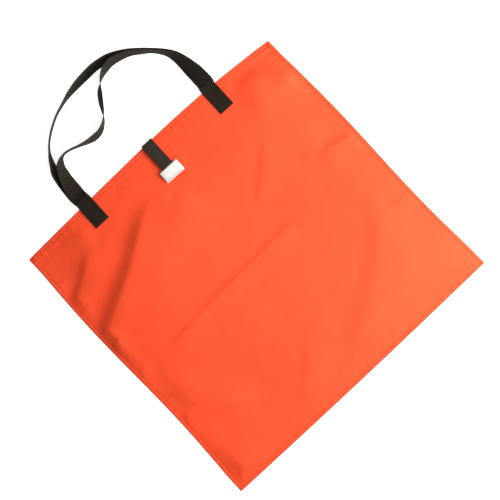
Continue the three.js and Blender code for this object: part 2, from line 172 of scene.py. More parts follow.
# Folds in the front panel: a path in x and y, the ridge's height, the width of its steep flank, which is
# on the left of the way the path runs, the width of its gentle flank, how far it fades at each end, and
# how far from a seam it starts to run out.
FOLD_STEPS, FOLD_EDGE = 8, 2.0
FOLDS = [
    ([(-330, 66), (-258, 101), (-201, 130), (-146, 163), (-94, 196), (-30, 226)], 8.5, 18, 60, 0, 110, 24),
    ([(-330, 150), (-272, 181), (-236, 204), (-190, 230)], 4.6, 11, 32, 0, 60, 24),
    ([(-330, 42), (-292, 58), (-266, 70)], 2.6, 7, 14, 0, 30, 20),
    ([(-330, -26), (-292, -10), (-266, -2)], 2.4, 7, 14, 0, 30, 20),
    ([(-330, -150), (-300, -140), (-262, -118)], 1.9, 8, 18, 0, 30, 20),
    ([(-240, -18), (-150, -7), (-60, -1), (20, 1), (125, 7)], 2.0, 6, 20, 60, 40, 40),
    ([(-310, -20), (-240, 20), (-150, 78), (-60, 140), (16, 184)], 6.0, 44, 90, 150, 60, 60),
    ([(80, 72), (130, 112), (185, 165)], 1.3, 6, 22, 25, 30, 40),
    ([(196, 68), (224, 80), (246, 92)], 1.1, 8, 22, 24, 20, 40),
    ([(222, 60), (272, 56), (340, 36)], 3.4, 10, 30, 40, 0, 24),
    ([(190, 264), (240, 243), (286, 215), (345, 206)], 7.0, 24, 52, 56, 0, 30),
    ([(-150, -216), (-200, -166), (-250, -112), (-320, -44)], 3.8, 26, 44, 90, 90, 50),
    ([(-112, -262), (-64, -230), (-16, -182)], 1.7, 12, 45, 40, 30, 40),
    ([(-60, -330), (60, -243), (150, -183), (220, -122), (290, -46)], 3.6, 24, 110, 20, 130, 90),
    ([(-228, -320), (-262, -282), (-290, -252), (-330, -200)], 5.5, 24, 40, 0, 0, 36),
    ([(-232, 296), (-205, 262), (-180, 226)], 2.0, 14, 24, 10, 40, 30),
    ([(196, 300), (226, 262), (244, 226)], 1.0, 9, 20, 10, 40, 30),
    ([(270, -92), (300, -108), (340, -122)], 1.6, 7, 14, 20, 0, 16),
    ([(-90, 282), (-70, 262), (-58, 232)], 0.9, 8, 18, 8, 30, 30),
]


def fold_height(x, y, edge, path, height, steep, gentle, fade_in, fade_out, settle):
    """Height that one fold adds to the cloth. `edge` is the distance from the nearest seam."""
    line = catmull_rom(path, FOLD_STEPS)
    nearest = np.full(x.shape, np.inf)
    signed = np.zeros(x.shape)
    along = np.zeros(x.shape)
    travelled = 0.0
    for (x0, y0), (x1, y1) in zip(line, line[1:]):
        dx, dy = x1 - x0, y1 - y0
        length = math.hypot(dx, dy)
        t = np.clip(((x - x0) * dx + (y - y0) * dy) / length**2, 0, 1)
        off_x, off_y = x - x0 - t * dx, y - y0 - t * dy
        distance = np.hypot(off_x, off_y)
        nearer = distance < nearest
        nearest = np.where(nearer, distance, nearest)
        signed = np.where(nearer, np.sign(dx * off_y - dy * off_x) * distance, signed)
        along = np.where(nearer, travelled + t * length, along)
        travelled += length
    profile = np.exp(-((signed / np.where(signed > 0, steep, gentle)) ** 2))
    ends = smoothstep((edge - FOLD_EDGE) / settle)
    if fade_in:
        ends = ends * smoothstep(along / fade_in)
    if fade_out:
        ends = ends * smoothstep((travelled - along) / fade_out)
    return height * profile * ends


def waves(place, seed, count, longest, shortest):
    """A smooth random wave along one direction, from about -1 to 1."""
    random = np.random.default_rng(SEED + seed)
    total = np.zeros(np.shape(place))
    for length in np.geomspace(longest, shortest, count):
        total += np.sin(2 * np.pi * (place / length + random.random()))
    return total / count**0.5


UNDULATIONS = (310, 240, 190, 140, 100, 75)  # lengths of the waves
FRONT_UNDULATION, BACK_UNDULATION = 0.55, 0.7
BACK_CONTACT = 0.25  # parts of the back panel's waves below this lie on the ground


def undulation(x, y):
    """Broad, shallow unevenness of cloth that was folded away and opened again."""
    random = np.random.default_rng(SEED)
    total = np.zeros(x.shape)
    for length in UNDULATIONS:
        turn = random.random() * math.pi
        place = (x * math.cos(turn) + y * math.sin(turn)) / length + random.random()
        total += length / UNDULATIONS[0] * np.sin(2 * np.pi * place)
    return total


HANDLE_COVER, TAB_COVER = 48.0, 84.0  # how far the handle ends and the label reach down
COVER_MARGIN = 26.0


def sewn_flat(x, y):
    """1 where nothing is sewn on the front panel, and 0 under the handle ends, the tab and its label."""
    free = np.ones(x.shape)
    for centre, half, depth in (
        (HANDLE_X["left"], STRAP_WIDTH / 2, HANDLE_COVER),
        (HANDLE_X["right"], STRAP_WIDTH / 2, HANDLE_COVER),
        (TAB_X, LABEL_WIDTH / 2, TAB_COVER),
    ):
        beside = smoothstep((np.abs(x - centre) - half) / COVER_MARGIN)
        below = smoothstep((MOUTH_Y - depth - y) / COVER_MARGIN)
        free = free * np.maximum(beside, below)
    return free


def edge_distance(across, down):
    """Distance from the nearest seam."""
    return np.minimum(np.minimum(across, WIDTH - across), HEIGHT - down)


def rolled(edge):
    """How far the cloth has turned down, where it rolls over the seam."""
    inside = np.clip(1 - edge / EDGE_ROLL, 0, 1)
    return EDGE_ROLL * (1 - np.sqrt(1 - inside**2))


def back_lift(down):
    """How far the back panel is held off the ground near the mouth."""
    return BACK_LIFT * smoothstep((LIFT_START - down) / (LIFT_START - LIFT_FULL))


def stitch_pull(across, down, seed):
    """Grooves along the stitching and the puckers beside them."""
    across, down = np.broadcast_arrays(across, down)
    sides = np.minimum(across, WIDTH - across)
    left = across < WIDTH / 2
    phase = np.where(left, waves(down, seed, 5, 23, 8), waves(down, seed + 1, 5, 23, 8))
    total = np.zeros(across.shape)
    for distance, inset, wave, strength in (
        (sides, SIDE_STITCH, phase, 1.0),
        (HEIGHT - down, BOTTOM_STITCH, waves(across, seed + 2, 5, 25, 8), 0.7),
        (down, HEM_STITCH, waves(across, seed + 3, 5, 24, 8), 0.9),
    ):
        total -= GROOVE_DEPTH * np.exp(-(((distance - inset) / GROOVE_WIDTH) ** 2))
        reach = np.where(distance < inset, PUCKER_OUTSIDE, PUCKER_INSIDE)
        pucker = PUCKER * strength * wave * np.exp(-(((distance - inset) / reach) ** 2))
        total += pucker * smoothstep(distance / 3)
    return total


def front_mid(across, down):
    """Height of the middle of the front panel's cloth."""
    x, y = outline_point(across, down)
    edge = edge_distance(across, down)
    corner = CORNER_LAYERS * smoothstep((CORNER_DEPTH - down) / CORNER_STEP)
    border = BORDER_MID + back_lift(down) + corner
    near_mouth = smoothstep((FIELD_FULL - down) / (FIELD_FULL - FIELD_START))
    slope = SLOPE_WIDTH + (MOUTH_SLOPE_WIDTH - SLOPE_WIDTH) * near_mouth
    climb = smoothstep((edge - SLOPE_START) / slope)
    field = FIELD_MID + (MOUTH_MID - FIELD_MID) * near_mouth
    # Folds start 10 mm below the mouth, and the broad waves 20 mm below it.
    folds = sum(fold_height(x, y, edge, *fold) for fold in FOLDS)
    folds = folds * smoothstep((down - 10) / 30)
    folds = folds + FRONT_UNDULATION * undulation(x, y) * climb * smoothstep((down - 20) / 60)
    hem = HEM_RISE * smoothstep((HEM_DEPTH + HEM_RISE_WIDTH - down) / HEM_RISE_WIDTH)
    loose = folds + hem + stitch_pull(across, down, seed=20)
    return border + (field - border) * climb + loose * sewn_flat(x, y) - rolled(edge)


def back_mid(across, down):
    """Height of the middle of the back panel's cloth. It lies on the ground, and lifts in a few places."""
    x, y = outline_point(across, down)
    edge = edge_distance(across, down)
    # It lies flat within 14 mm of the seams and 100 mm of the mouth.
    lifted = np.clip(BACK_UNDULATION * undulation(y, x) - BACK_CONTACT, 0, None)
    lifted = lifted * smoothstep((edge - 14) / 40) * smoothstep((down - 100) / 60)
    pull = np.clip(-stitch_pull(across, down, seed=40), 0, 0.5) * smoothstep((edge - 2) / 3)
    return BACK_MID + back_lift(down) + lifted + pull + rolled(edge)


# ---- Meshes ----


def new_piece(name, vertices, faces, uv, material, sharp_angle=50, attributes=None):
    """An object from vertices in millimetres. uv and the attributes have one value for each vertex."""
    mesh = bpy.data.meshes.new(name)
    mesh.from_pydata((np.asarray(vertices) * MM).tolist(), [], faces)
    corners = np.empty(len(mesh.loops), int)
    mesh.loops.foreach_get("vertex_index", corners)
    layer = mesh.uv_layers.new(name="cloth")
    layer.data.foreach_set("uv", np.asarray(uv, np.float32)[corners].ravel())
    for key, values in (attributes or {}).items():
        attribute = mesh.attributes.new(key, "FLOAT", "POINT")
        attribute.data.foreach_set("value", np.asarray(values, np.float32))
    mesh.materials.append(material)
    mesh.polygons.foreach_set("use_smooth", np.ones(len(mesh.polygons), bool))
    mesh.set_sharp_from_angle(angle=math.radians(sharp_angle))
    mesh.validate()
    piece = bpy.data.objects.new(name, mesh)
    bpy.context.scene.collection.objects.link(piece)
    return piece


def unit(vectors):
    return vectors / np.maximum(np.linalg.norm(vectors, axis=-1, keepdims=True), 1e-9)


def closed_sheet(points, thickness, keep=None):
    """Vertices and faces of a closed sheet round a grid of points, rows by columns. The outer side is up
    where rows run towards -Y and columns towards +X. `keep` says which cells are there."""
    rows, columns = points.shape[:2]
    down, right = (np.gradient(points, axis=axis) for axis in (0, 1))
    normal = unit(np.cross(unit(down), unit(right)))
    outer, inner = points + normal * thickness / 2, points - normal * thickness / 2
    vertices = np.concatenate([outer.reshape(-1, 3), inner.reshape(-1, 3)])
    index = np.arange(rows * columns).reshape(rows, columns)
    a, b, c, d = index[:-1, :-1], index[1:, :-1], index[1:, 1:], index[:-1, 1:]
    keep = np.ones(a.shape, bool) if keep is None else keep
    padded = np.pad(keep, 1)
    under = rows * columns
    faces = [np.stack([a, b, c, d], -1)[keep], np.stack([a, d, c, b], -1)[keep] + under]
    sides = (
        (a, b, padded[1:-1, :-2]),
        (b, c, padded[2:, 1:-1]),
        (c, d, padded[1:-1, 2:]),
        (d, a, padded[:-2, 1:-1]),
    )
    for p, q, neighbour in sides:
        rim = keep & ~neighbour
        faces.append(np.stack([q, p, p + under, q + under], -1)[rim])
    faces = np.concatenate(faces)
    used = np.unique(faces)
    renumber = np.zeros(len(vertices), int)
    renumber[used] = np.arange(len(used))
    return vertices[used], renumber[faces].tolist(), used


FIELD_EDGE = 14.0  # inside this the panels have grid lines at even steps


def edge_stops(stitch):
    """Insets from a seam at which the cloth has grid lines: its roll, and both sides of the stitching."""
    roll = [EDGE_ROLL * (1 - math.cos(math.radians(angle))) for angle in (0, 22, 45, 67, 90)]
    return [*roll, 3.0, 4.6, stitch - 1.2, stitch, stitch + 1.2, 11.6]


def cell_stops(start, end, step):
    """Even stops from start to end, about a step apart."""
    return list(np.linspace(start, end, max(2, round((end - start) / step)) + 1))


def panel(name, mid, step, hem_side, material):
    """One panel of the bag, with the cloth turned in along the mouth. hem_side is -1 where the hem lies
    below the panel and 1 where it lies above."""
    sides = edge_stops(SIDE_STITCH)
    field = cell_stops(FIELD_EDGE, WIDTH - FIELD_EDGE, step)
    across = np.array([*sides, *field, *[WIDTH - s for s in reversed(sides)]])[None, :]

    # Rows run from the inner edge of the hem, round the mouth, to the bottom seam, each with how far the
    # cloth there lies behind the panel's face.
    turned = [(depth, 2 * HEM_FOLD) for depth in (HEM_DEPTH, 10.4, 8.5, 6.5, 4.5, 2.5)]
    turns = [math.pi * k / 6 for k in range(6, -1, -1)]
    fold = [(HEM_FOLD * (1 - math.sin(turn)), HEM_FOLD * (1 - math.cos(turn))) for turn in turns]
    near_mouth = (1.6, 3.0, 4.6, 6.2, 7.3, HEM_STITCH, 9.7, 11.2)
    field = cell_stops(FIELD_EDGE, HEIGHT - FIELD_EDGE, step)
    bottom = [HEIGHT - s for s in reversed(edge_stops(BOTTOM_STITCH))]
    rows = np.array([*turned, *fold, *[(stop, 0.0) for stop in (*near_mouth, *field, *bottom)]])
    down, behind = rows[:, :1], rows[:, 1:]

    x, y = outline_point(across, down)
    z = mid(across, down) + hem_side * behind
    points = np.stack(np.broadcast_arrays(x, y, z), -1)
    places = np.stack(np.broadcast_arrays(across, down), -1)
    keep = np.ones((len(rows) - 1, across.shape[1] - 1), bool)
    hem_rows = len(turned) + 3  # up to the crest of the fold
    middle = (across[0, 1:] + across[0, :-1]) / 2
    keep[:hem_rows, (middle < HEM_END) | (middle > WIDTH - HEM_END)] = False
    if hem_side > 0:
        points, places, keep = points[:, ::-1], places[:, ::-1], keep[:, ::-1]

    vertices, faces, used = closed_sheet(points, CLOTH, keep)
    uv = np.concatenate([places.reshape(-1, 2)] * 2)[used]
    inside = np.repeat([0.0, 1.0], points.shape[0] * points.shape[1])[used]
    # Painted shade: the cloth is darkened along the rolled seams and along the fold at the mouth.
    seams_shade = np.exp(-((edge_distance(uv[:, 0], uv[:, 1]) / 2.4) ** 2))
    mouth_shade = 0.6 * np.exp(-((uv[:, 1] / 1.6) ** 2))
    attributes = {"inside": inside, "dust_and_edge_shade": seams_shade + mouth_shade}
    return new_piece(name, vertices, faces, uv, material, attributes=attributes)


def strip(name, across_range, down_range, mid, material, step=4.0):
    """A strip of turned-in cloth inside a seam."""
    across = np.array(cell_stops(*across_range, step))[None, :]
    down = np.array(cell_stops(*down_range, step))[:, None]
    x, y = outline_point(across, down)
    points = np.stack(np.broadcast_arrays(x, y, mid(across, down)), -1)
    vertices, faces, used = closed_sheet(points, ALLOWANCE_CLOTH)
    places = np.stack(np.broadcast_arrays(across, down), -1).reshape(-1, 2)
    uv = np.concatenate([places] * 2)[used]
    return new_piece(name, vertices, faces, uv, material, attributes={"inside": np.ones(len(uv))})


def allowance_mid(layer):
    """Height of the middle of one layer of turned-in cloth. Layer 0 is the lower one."""

    def mid(across, down):
        ripple = 0.05 * waves(across + down, 7, 3, 60, 20)
        return BACK_MID + back_lift(down) + ALLOWANCE_LOW + ALLOWANCE_LAYER * layer + ripple

    return mid


def stitches(name, points, directions, normals, material, length=2.9, width=0.75, rise=0.42):
    """Separate stitches, each a short arched thread that thins and dips into the cloth at both ends."""
    rings, sides = 7, 6
    t = np.linspace(-1, 1, rings)
    angle = np.arange(sides) / sides * 2 * np.pi
    radius = width / 2 * np.sqrt(np.clip(1 - 0.8 * t**4, 0, 1))
    along = np.repeat(t * length / 2, sides)
    side = (radius[:, None] * np.cos(angle)).ravel()
    up = (radius[:, None] * np.sin(angle) + (rise * (1 - t**2) - 0.35 * rise)[:, None]).ravel()
    directions, normals = unit(np.asarray(directions, float)), unit(np.asarray(normals, float))
    sideways = np.cross(normals, directions)
    vertices = (
        np.asarray(points, float)[:, None]
        + along[None, :, None] * directions[:, None]
        + side[None, :, None] * sideways[:, None]
        + up[None, :, None] * normals[:, None]
    )
    ring = np.arange(sides)
    walls = [
        [r * sides + k, r * sides + (k + 1) % sides, (r + 1) * sides + (k + 1) % sides, (r + 1) * sides + k]
        for r in range(rings - 1)
        for k in range(sides)
    ]
    caps = [ring[::-1].tolist(), (ring + (rings - 1) * sides).tolist()]
    faces = []
    count = rings * sides
    for n in range(len(vertices)):
        faces += [[v + n * count for v in face] for face in (*walls, *caps)]
    uv = np.tile(np.stack([along, side], -1), (len(vertices), 1))
    uv[:, 0] += np.repeat(np.arange(len(vertices)) * STITCH_PITCH, count)
    return new_piece(name, vertices.reshape(-1, 3), faces, uv, material, sharp_angle=80)


def on_cloth(across, down, mid, side):
    """Points on the outer face of a panel, its normals and its directions to the right and downwards. side
    is 1 for the front panel and -1 for the back one."""

    def place(a, d):
        return np.stack(np.broadcast_arrays(*outline_point(a, d), mid(a, d)), -1)

    nudge = 0.5
    right = place(across + nudge, down) - place(across - nudge, down)
    below = place(across, down + nudge) - place(across, down - nudge)
    normal = unit(np.cross(below, right)) * side
    return place(across, down) + normal * (CLOTH / 2), normal, unit(right), unit(below)


def stitch_line(name, across, down, mid, side, runs_down, material):
    """A row of stitches on a panel."""
    points, normals, right, below = on_cloth(across, down, mid, side)
    return stitches(name, points, below if runs_down else right, normals, material)


# ---- Webbing ----

STRAP_STEPS = 24  # between stations
STRAP_SPACING = 2.0
SELVEDGE = 0.1  # how much thicker the edges are than the middle
FLUTTER = 0.25

# The handles' routes are lists of stations, as in the CAD source: x, y from the mouth's line, the lean from
# lying flat in degrees, and how far the strap is raised along its own face.
LOOP_START = HINGE_Y + END_GAP
LOOP_STRAIGHT = LOOP_START + 7


def base_stations(x, over):
    """Stations of a sewn end and the straight start of the loop above it."""
    start = HINGE_Y - END_GAP - SEWN_LENGTH
    ends = (start, start + SEWN_LENGTH / 2, LOOP_START - 8, LOOP_START, LOOP_STRAIGHT)
    return [[x, y, 0, over] for y in ends]


BACK_STATIONS = [
    [-157, 24, 3, 0.4], [-157.5, 46, 21, 0], [-158, 68, 42, 0], [-157, 87, 58, 0], [-152, 100, 71, 0],
    [-146, 113, 79, 0], [-138, 125, 87, 0], [-126, 138, 88, 0], [-109, 151, 87, 0], [-84, 165, 87, 0],
    [-58, 174, 84, 0], [-34, 180, 74, 0], [-13, 183, 66, 0], [9, 184.5, 62, 0], [32, 185, 61, 0],
    [56, 181.5, 61, 0], [78, 174, 66, 0],
]
FRONT_STATIONS = [
    [-156.5, 24, 3, 10.5], [-156.5, 43, 20, 6.5], [-153.5, 63, 38, 4], [-149, 77, 50, 2.5], [-144, 87, 60, 1],
    [-138, 93.5, 68, 0], [-131, 99, 79, 0], [-122, 102, 86, 0], [-108, 100.5, 86, 0], [-90, 94.5, 84, 0],
    [-74, 89.5, 77, 0], [-57, 86.5, 70, 0], [-43, 87.5, 73, 0], [-31, 93, 80, 0], [-20, 102, 88, 0],
    [-13, 112, 99, 0], [-4, 127, 107, 0], [5, 140, 108, 0], [14, 150, 100, 0], [23, 157.5, 87, 0],
    [32, 163.5, 78, 0], [44, 168.5, 68, 0], [60, 171, 63, 0], [79, 167.5, 65, 0],
]
SHARED_STATIONS = [
    [100, 161.5, 70, 2.4], [118, 148.5, 75, 2.3], [133, 136, 79, 2.3], [145, 123, 77, 2.3],
    [153.5, 111, 71, 2.3], [159.5, 98, 60, 2.4], [163, 82, 47, 2.6], [165.5, 63, 33, 3.6],
    [167, 41, 15, 6.5], [166.5, 22, 5, 10.5],
]
# Where both straps lie together, the back one is the lower and isn't raised.
BACK_SHARED_STATIONS = [[x, y, lean, 0] for x, y, lean, _ in SHARED_STATIONS]


def strap_line(stations):
    """Middle line of a strap at even steps, with the directions across it and the way travelled."""
    stations = np.asarray(stations, float)
    line = catmull_rom(stations[:, :2], STRAP_STEPS)
    turn = catmull_rom(np.column_stack([stations[:, 2:], np.zeros(len(stations))]), STRAP_STEPS)
    ahead = unit(np.gradient(line, axis=0))
    inwards = np.column_stack([ahead[:, 1], -ahead[:, 0], np.zeros(len(line))])
    lean = np.radians(turn[:, 0])[:, None]
    up = np.array([[0.0, 0.0, 1.0]])
    across = -np.cos(lean) * inwards + np.sin(lean) * up
    face = np.sin(lean) * inwards + np.cos(lean) * up
    centre = np.column_stack([line, np.zeros(len(line))])
    centre[:, 1] += MOUTH_Y
    centre[:, 2] = (np.abs(face[:, 2]) * STRAP + np.abs(across[:, 2]) * STRAP_WIDTH) / 2
    centre += face * turn[:, 1:2]
    travelled = np.r_[0, np.cumsum(np.linalg.norm(np.diff(centre, axis=0), axis=1))]
    stops = np.linspace(0, travelled[-1], round(travelled[-1] / STRAP_SPACING) + 1)

    def spaced(values):
        return np.column_stack([np.interp(stops, travelled, values[:, k]) for k in range(3)])

    return spaced(centre), unit(spaced(across)), stops


def strap_section(width, thickness, edge):
    """Closed outline of webbing: flat faces, a slightly thicker selvedge and rounded edges."""
    half, thin = width / 2, thickness / 2
    span = np.linspace(-half + edge, half - edge, 15)
    swell = SELVEDGE * np.exp(-((np.abs(span) - (half - 1.8)) / 0.9) ** 2) - SELVEDGE
    top = np.column_stack([span, thin + swell])
    bend = np.radians([60, 30, 0, -30, -60])
    right = np.column_stack([half - edge + edge * np.cos(bend), (thin - SELVEDGE / 2) * np.sin(bend)])
    bottom = np.column_stack([span[::-1], -thin - swell])
    left = np.column_stack([-right[:, 0], right[:, 1]])[::-1]
    return np.vstack([top, right, bottom, left])


def swept(name, centre, across, stops, section, material):
    """A strap: the section carried along the line, closed at both ends."""
    ahead = unit(np.gradient(centre, axis=0))
    face = unit(np.cross(ahead, across))
    across = np.cross(face, ahead)
    rings = centre[:, None] + section[None, :, :1] * across[:, None] + section[None, :, 1:] * face[:, None]
    n, k = rings.shape[:2]
    index = np.arange(n * k).reshape(n, k)
    nxt = np.roll(index, -1, axis=1)
    walls = np.stack([index[:-1], index[1:], nxt[1:], nxt[:-1]], -1).reshape(-1, 4).tolist()
    caps = [index[0].tolist(), index[-1][::-1].tolist()]
    uv = np.stack([np.repeat(stops, k), np.tile(section[:, 0], n)], -1)
    return new_piece(name, rings.reshape(-1, 3), walls + caps, uv, material, sharp_angle=45)


def handle(name, stations, base, seed, material):
    """One handle, from sewn end to sewn end, with its loop a little uneven from side to side."""
    left = base_stations(HANDLE_X["left"], base)
    right = base_stations(HANDLE_X["right"], base)[::-1]
    centre, across, stops = strap_line([*left, *stations, *right])
    flutter = FLUTTER * waves(stops, seed, 4, 120, 35)
    loose = smoothstep((centre[:, 1] - MOUTH_Y - LOOP_STRAIGHT) / 30)
    centre = centre + across * (flutter * loose)[:, None]
    return swept(name, centre, across, stops, strap_section(STRAP_WIDTH, STRAP, 0.7), material)


def flat_stitches(name, lines, place, up, pitch, size, material, hang=None):
    """Stitches along straight lines on a level face. up is 1 on an upper face and -1 on a lower one. size
    is each stitch's length, width and rise."""
    points, directions = [], []
    for start, end in np.asarray(lines, float):
        count = round(np.linalg.norm(end - start) / pitch)
        for t in (np.arange(count) + 0.5) / count:
            points.append([*(start + (end - start) * t), 0])
            directions.append([*(end - start), 0])
    points = np.array(points)
    if hang:
        points[:, 2] += hang(points[:, 0])
    normals = np.tile([0.0, 0.0, up], (len(points), 1))
    return stitches(name, points + place, directions, normals, material, *size)


def box_stitches(name, x, top_y, z, width, length, up, material):
    """Stitches down both sides and along the lower end of a rectangle, with a cross in it."""
    w, h = width / 2, length / 2
    a, b, c, d = (-w, -h), (w, -h), (w, h), (-w, h)
    lines = [(a, b), (b, c), (d, a), (a, c), (d, b)]
    return flat_stitches(name, lines, [x, top_y - h, z], up, 3.4, (2.9, 0.7, 0.38), material)


def frame_stitches(name, width, length, top_y, inset, z, material, pitch=2.4, hang=None):
    """Stitches all round a patch in line with the tab, inside its edge."""
    w, h = width / 2 - inset, length / 2 - inset
    corners = [(-w, -h), (w, -h), (w, h), (-w, h)]
    lines = [*zip(corners, [*corners[1:], corners[0]])]
    size = (pitch * 0.8, 0.45, 0.28)
    return flat_stitches(name, lines, [TAB_X, top_y - length / 2, z], 1, pitch, size, material, hang)


# ---- Closure tab ----


def tab_line():
    """Middle line of the tab's strip: up the back, round the mouth and down the front."""
    rise = (TAB_HIGH_Z - TAB_LOW_Z) / 2
    middle = (TAB_HIGH_Z + TAB_LOW_Z) / 2
    turn = np.radians(np.linspace(-90, 90, 25))
    edge_y = TAB_EDGE + 0.4
    arc = np.column_stack([edge_y + TAB_FOLD_DEPTH * np.cos(turn), middle + rise * np.sin(turn)])
    low = np.linspace(edge_y - TAB_BASE_DROP, edge_y, 25)[:-1]
    high = np.linspace(edge_y, edge_y - TAB_FLAP_DROP, 40)[1:]
    path = np.vstack([
        np.column_stack([low, np.full(len(low), TAB_LOW_Z)]),
        arc,
        np.column_stack([high, np.full(len(high), TAB_HIGH_Z)]),
    ])
    centre = np.column_stack([np.full(len(path), TAB_X), path])
    across = np.tile([-1.0, 0.0, 0.0], (len(path), 1))
    stops = np.r_[0, np.cumsum(np.linalg.norm(np.diff(centre, axis=0), axis=1))]
    return centre, across, stops


def droop(x):
    """How the label's ends hang, where they stand out past the tab."""
    return -LABEL_DROOP * smoothstep((np.abs(x) - TAB_WIDTH / 2) / LABEL_DROOP_WIDTH)


def patch(name, width, length, top_y, z, thickness, bumps, material, upper=1, corner=0.6, hang=None):
    """A small sewn piece with soft edges, in line with the tab. bumps(x, y) is the relief of its outer
    face, which is the upper one where `upper` is 1 and the lower one where it is -1."""

    def stops(size):
        edge = [size / 2, size / 2 - corner / 2]
        middle = cell_stops(corner - size / 2, size / 2 - corner, 0.7)
        return np.array([*[-e for e in edge], *middle, *edge[::-1]])

    x, y = stops(width)[None, :], stops(length)[::-1, None]
    inset = np.minimum(width / 2 - np.abs(x), length / 2 - np.abs(y))
    soft = corner * (1 - np.sqrt(1 - np.clip(1 - inset / corner, 0, 1) ** 2))
    relief = bumps(x, y) * smoothstep(inset / 1.2)
    outer = z + thickness / 2 * upper + (relief - soft * 0.6) * upper
    inner = np.full(soft.shape, z - thickness / 2 * upper) + soft * 0.3 * upper
    top, low = (outer, inner) if upper > 0 else (inner, outer)
    if hang:
        top, low = top + hang(x), low + hang(x)
    grid = np.stack(np.broadcast_arrays(x + TAB_X, y + top_y - length / 2), -1)
    top, low = (np.concatenate([grid, height[..., None]], -1) for height in (top, low))
    _, faces, used = closed_sheet(top, thickness)
    vertices = np.concatenate([top.reshape(-1, 3), low.reshape(-1, 3)])[used]
    uv = np.concatenate([grid.reshape(-1, 2)] * 2)[used]
    return new_piece(name, vertices, faces, uv, material, sharp_angle=60)


def hooks(x, y):
    """Even rows of little hooks."""
    pitch = 2.1
    grid = np.sin(2 * np.pi * x / pitch) * np.sin(2 * np.pi * y / pitch)
    return 0.35 * np.clip(grid * 1.6, -0.2, 1)


def loops(x, y):
    """Uneven pile."""
    return 0.16 * (waves(3.1 * x + y, 61, 3, 5, 2) + waves(2.3 * y - x, 62, 3, 5, 2))


def label_relief(x, y):
    """A low rim round the label, which is slightly uneven inside it."""
    border = np.minimum(LABEL_WIDTH / 2 - np.abs(x), LABEL_LENGTH / 2 - np.abs(y))
    return 0.16 * np.exp(-((border - 1.1) / 0.6) ** 2) + 0.05 * np.sin(x / 4.0) * np.cos(y / 5.0)


# ---- Materials ----


class Nodes:
    """A material's nodes, with its Principled shader."""

    def __init__(self, name, roughness, sheen=0.0, specular=0.5, sheen_roughness=0.5):
        self.material = bpy.data.materials.new(name)
        self.material.use_nodes = True
        self.tree = self.material.node_tree
        self.shader = self.tree.nodes["Principled BSDF"]
        self.shader.inputs["Roughness"].default_value = roughness
        self.shader.inputs["Sheen Weight"].default_value = sheen
        self.shader.inputs["Sheen Roughness"].default_value = sheen_roughness
        self.shader.inputs["Specular IOR Level"].default_value = specular
        self.uv = self.add("ShaderNodeUVMap", uv_map="cloth").outputs["UV"]

    def add(self, kind, inputs=None, **settings):
        node = self.tree.nodes.new(kind)
        for key, value in settings.items():
            setattr(node, key, value)
        for key, value in (inputs or {}).items():
            if isinstance(value, bpy.types.NodeSocket):
                self.tree.links.new(value, node.inputs[key])
            else:
                node.inputs[key].default_value = value
        return node

    def math(self, operation, a, b=0.0):
        return self.add("ShaderNodeMath", {0: a, 1: b}, operation=operation).outputs[0]

    def noise(self, scale, detail=3.0, roughness=0.5, stretch=(1, 1, 1)):
        """Noise on the cloth's own millimetres."""
        place = self.add("ShaderNodeMapping", {"Vector": self.uv, "Scale": stretch}).outputs[0]
        inputs = {"Vector": place, "Scale": scale, "Detail": detail, "Roughness": roughness}
        return self.add("ShaderNodeTexNoise", inputs).outputs["Fac"]

    def between(self, value, low, high, from_low=0.3, from_high=0.7):
        """The value carried over from one range to another. The first suits noise."""
        inputs = {"Value": value, "From Min": from_low, "From Max": from_high, "To Min": low, "To Max": high}
        return self.add("ShaderNodeMapRange", inputs).outputs[0]

    def ramp(self, value, stops):
        """A colour for the value, from stops of a position and a colour."""
        node = self.add("ShaderNodeValToRGB", {"Fac": value})
        elements = node.color_ramp.elements
        elements[0].position, elements[0].color = stops[0][0], (*stops[0][1], 1)
        elements[1].position, elements[1].color = stops[-1][0], (*stops[-1][1], 1)
        for position, colour in stops[1:-1]:
            elements.new(position).color = (*colour, 1)
        return node.outputs[0]

    def mix(self, factor, a, b):
        node = self.add("ShaderNodeMix", data_type="RGBA", blend_type="MIX")
        for key, value in ((0, factor), (6, a), (7, b)):
            if isinstance(value, bpy.types.NodeSocket):
                self.tree.links.new(value, node.inputs[key])
            else:
                node.inputs[key].default_value = value if key == 0 else (*value, 1)
        return node.outputs[2]

    def bump(self, height, distance, strength=1.0, normal=None):
        inputs = {"Height": height, "Distance": distance, "Strength": strength}
        if normal:
            inputs["Normal"] = normal
        return self.add("ShaderNodeBump", inputs).outputs[0]

    def set(self, socket, value):
        self.tree.links.new(value, self.shader.inputs[socket])

    def attribute(self, name):
        """A value that the mesh carries at its vertices."""
        return self.add("ShaderNodeAttribute", attribute_name=name).outputs["Fac"]

    def weave(self, pitch_u, pitch_v):
        """Plain weave: high where one thread crosses over the other, from -1 to 1."""
        parts = self.add("ShaderNodeSeparateXYZ", {0: self.uv}).outputs
        u = self.math("SINE", self.math("MULTIPLY", parts[0], 2 * math.pi / pitch_u))
        v = self.math("SINE", self.math("MULTIPLY", parts[1], 2 * math.pi / pitch_v))
        return self.math("MULTIPLY", u, v)


def scaled(colour, factor):
    return tuple(min(1.0, c * factor) for c in colour)


